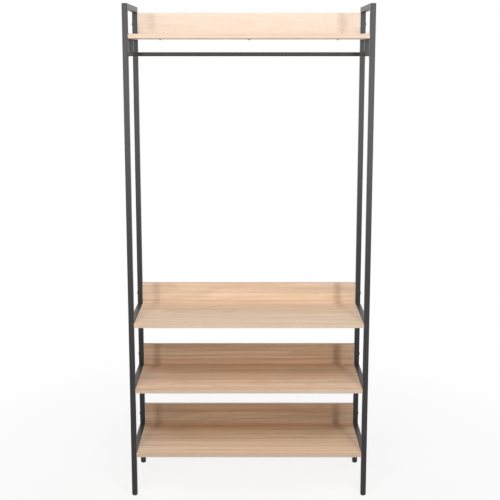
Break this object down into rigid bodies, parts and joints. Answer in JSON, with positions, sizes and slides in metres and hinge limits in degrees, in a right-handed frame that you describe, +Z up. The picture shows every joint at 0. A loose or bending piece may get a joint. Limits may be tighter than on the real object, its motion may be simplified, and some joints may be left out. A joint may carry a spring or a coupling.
{
  "type": "clothes rack",
  "caption": "Free-standing clothes rack with square-tube side frames, oak-faced shelves with low backboards, a hanging rail under the top shelf and screw-in levelling feet.",
  "frame": {"origin": "on the floor, under the middle of the rack", "axes": "+X to the right seen from the front, the front faces -Y, +Z up"},
  "size_m": [0.9048, 0.35, 1.85],
  "materials": {
    "frame_steel": "fine-textured anthracite powder coat",
    "oak_laminate": "light oak laminate, satin, grain along the length",
    "black_plastic": "moulded, matt",
    "bolt_steel": "black zinc",
    "zinc_steel": "zinc plated"
  },
  "bodies": {
    "rack": {"left_front_post": "frame_steel", "left_rear_post": "frame_steel", "left_frame_top_bar": "frame_steel", "left_bottom_shelf_bar": "frame_steel", "left_lower_shelf_bar": "frame_steel", "left_middle_shelf_bar": "frame_steel", "left_top_shelf_bar": "frame_steel", "left_rail_strut": "frame_steel", "right_front_post": "frame_steel", "right_rear_post": "frame_steel", "right_frame_top_bar": "frame_steel", "right_bottom_shelf_bar": "frame_steel", "right_lower_shelf_bar": "frame_steel", "right_middle_shelf_bar": "frame_steel", "right_top_shelf_bar": "frame_steel", "right_rail_strut": "frame_steel", "strut_end_caps": "black_plastic", "bottom_shelf": "oak_laminate", "bottom_backboard": "oak_laminate", "lower_shelf": "oak_laminate", "lower_backboard": "oak_laminate", "middle_shelf": "oak_laminate", "middle_backboard": "oak_laminate", "top_shelf": "oak_laminate", "top_backboard": "oak_laminate", "hanging_rail": "frame_steel", "shelf_bolts": "bolt_steel", "shelf_insert_nuts": "zinc_steel", "backboard_bolts": "bolt_steel", "backboard_insert_nuts": "zinc_steel", "backboard_screws": "bolt_steel", "rail_bolts": "bolt_steel", "rail_end_plugs": "zinc_steel", "left_front_foot_insert": "black_plastic", "left_rear_foot_insert": "black_plastic", "right_front_foot_insert": "black_plastic", "right_rear_foot_insert": "black_plastic"},
    "left_front_foot": {"left_front_foot_pad": "black_plastic", "left_front_foot_stem": "zinc_steel"},
    "left_rear_foot": {"left_rear_foot_pad": "black_plastic", "left_rear_foot_stem": "zinc_steel"},
    "right_front_foot": {"right_front_foot_pad": "black_plastic", "right_front_foot_stem": "zinc_steel"},
    "right_rear_foot": {"right_rear_foot_pad": "black_plastic", "right_rear_foot_stem": "zinc_steel"}
  },
  "joints": [
    {"name": "left_front_foot_screw", "type": "slide", "parent": "rack", "child": "left_front_foot", "axis": [0, 0, -1], "range_m": [0, 0.01]},
    {"name": "left_rear_foot_screw", "type": "slide", "parent": "rack", "child": "left_rear_foot", "axis": [0, 0, -1], "range_m": [0, 0.01]},
    {"name": "right_front_foot_screw", "type": "slide", "parent": "rack", "child": "right_front_foot", "axis": [0, 0, -1], "range_m": [0, 0.01]},
    {"name": "right_rear_foot_screw", "type": "slide", "parent": "rack", "child": "right_rear_foot", "axis": [0, 0, -1], "range_m": [0, 0.01]}
  ]
}
